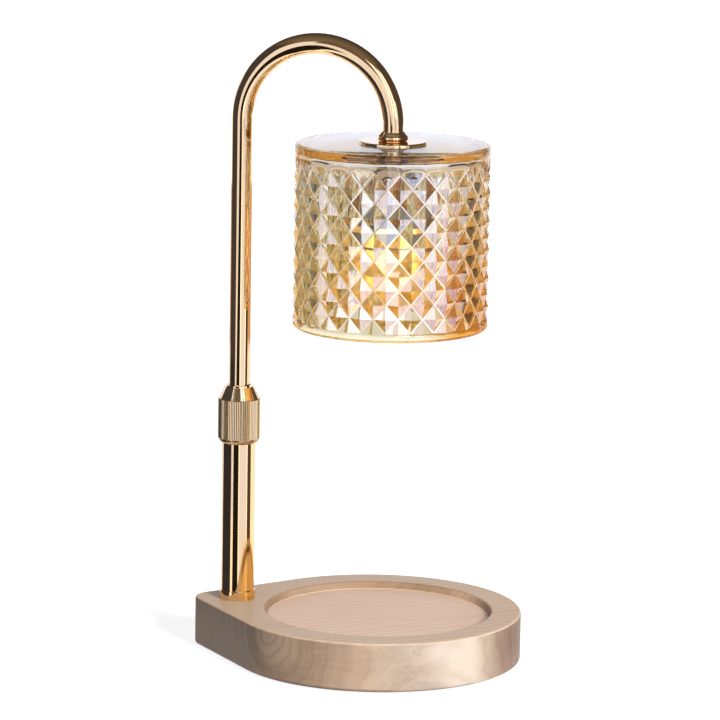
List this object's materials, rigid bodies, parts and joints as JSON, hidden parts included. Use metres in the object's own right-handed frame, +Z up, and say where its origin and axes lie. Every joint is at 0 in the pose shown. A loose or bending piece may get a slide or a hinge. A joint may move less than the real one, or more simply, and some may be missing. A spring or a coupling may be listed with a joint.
{
  "type": "height-adjustable candle warmer table lamp",
  "caption": "Table lamp with a knurled lock nut on a post, a sliding and swinging crook arm, a diamond-cut glass shade and a teardrop wooden base with a round candle recess.",
  "frame": {"origin": "middle of the lamp's length and width, at the level of the feet's undersides", "axes": "+X from the post towards the round end of the base and the shade, +Z up; the lamp is symmetric about the XZ plane except for the cord gland on its +Y side"},
  "size_m": [0.1588, 0.1386, 0.2984],
  "materials": {
    "ash_wood": "clear matt lacquer over straight-grained pale wood",
    "black_steel": "black powder coat",
    "zinc_steel": "zinc plated",
    "clear_rubber": "matt, translucent",
    "polished_gold": "polished, pale gold plating",
    "satin_gold": "satin gold plating on fine flutes",
    "plain_brass": "turned, unplated",
    "white_rubber": "matt",
    "grey_nylon": "matt",
    "natural_nylon": "matt, off-white",
    "lead_insulation": "silicone insulation",
    "silicone": "translucent, matt",
    "amber_glass": "pressed, polished, pale amber",
    "holder_ceramic": "unglazed, white",
    "contact_steel": "nickel plated",
    "bulb_ceramic": "unglazed, white",
    "reflector_mirror": "vapour-coated mirror",
    "bulb_glass": "clear, polished",
    "lit_glass": "frosted, lit"
  },
  "bodies": {
    "base": {"wood_base": "ash_wood", "bottom_plate": "black_steel", "plate_screws": "zinc_steel", "rubber_feet": "clear_rubber", "foot_ring": "polished_gold", "post_tube": "polished_gold", "post_washer": "zinc_steel", "post_nut": "zinc_steel", "cord_gland": "white_rubber", "crimp_caps": "grey_nylon", "slack_lead": "lead_insulation"},
    "collet": {"split_collet": "natural_nylon"},
    "arm": {"arm_tube": "polished_gold", "guide_bush": "natural_nylon", "neck_collar": "polished_gold", "shade_flange": "polished_gold", "top_gasket": "silicone", "glass_shade": "amber_glass", "lower_gasket": "silicone", "shade_nut": "plain_brass", "holder_cup": "polished_gold", "cup_nut": "zinc_steel", "lamp_holder": "holder_ceramic", "holder_screws": "zinc_steel", "holder_contacts": "contact_steel", "lamp_leads": "lead_insulation"},
    "bulb": {"bulb_base": "bulb_ceramic", "bulb_pins": "contact_steel", "bulb_reflector": "reflector_mirror", "bulb_lens": "bulb_glass", "bulb_capsule": "lit_glass"},
    "clamp": {"clamp_ring": "plain_brass"},
    "nut": {"lock_nut": "satin_gold"}
  },
  "joints": [
    {"name": "arm_swivel", "type": "hinge", "parent": "base", "child": "collet", "pos_m": [-0.05885, 0, 0.1159], "axis": [0, 0, 1], "range_deg": [-90, 90]},
    {"name": "arm_slide", "type": "slide", "parent": "collet", "child": "arm", "axis": [0, 0, 1], "range_m": [-0.046, 0.033], "deforming": ["slack_lead"]},
    {"name": "bulb_twist", "type": "hinge", "parent": "arm", "child": "bulb", "pos_m": [0.0144, 0, 0.2164], "axis": [0, 0, -1], "range_deg": [0, 20]},
    {"name": "nut_climb", "type": "slide", "parent": "base", "child": "clamp", "axis": [0, 0, 1], "range_m": [0, 0.01]},
    {"name": "nut_turn", "type": "hinge", "parent": "clamp", "child": "nut", "pos_m": [-0.05885, 0, 0.1006], "axis": [0, 0, 1], "range_deg": [0, 3600]}
  ],
  "couplings": [
    {"joint": "nut_turn", "follows": "nut_climb", "rad_per_m": 6283.2}
  ]
}
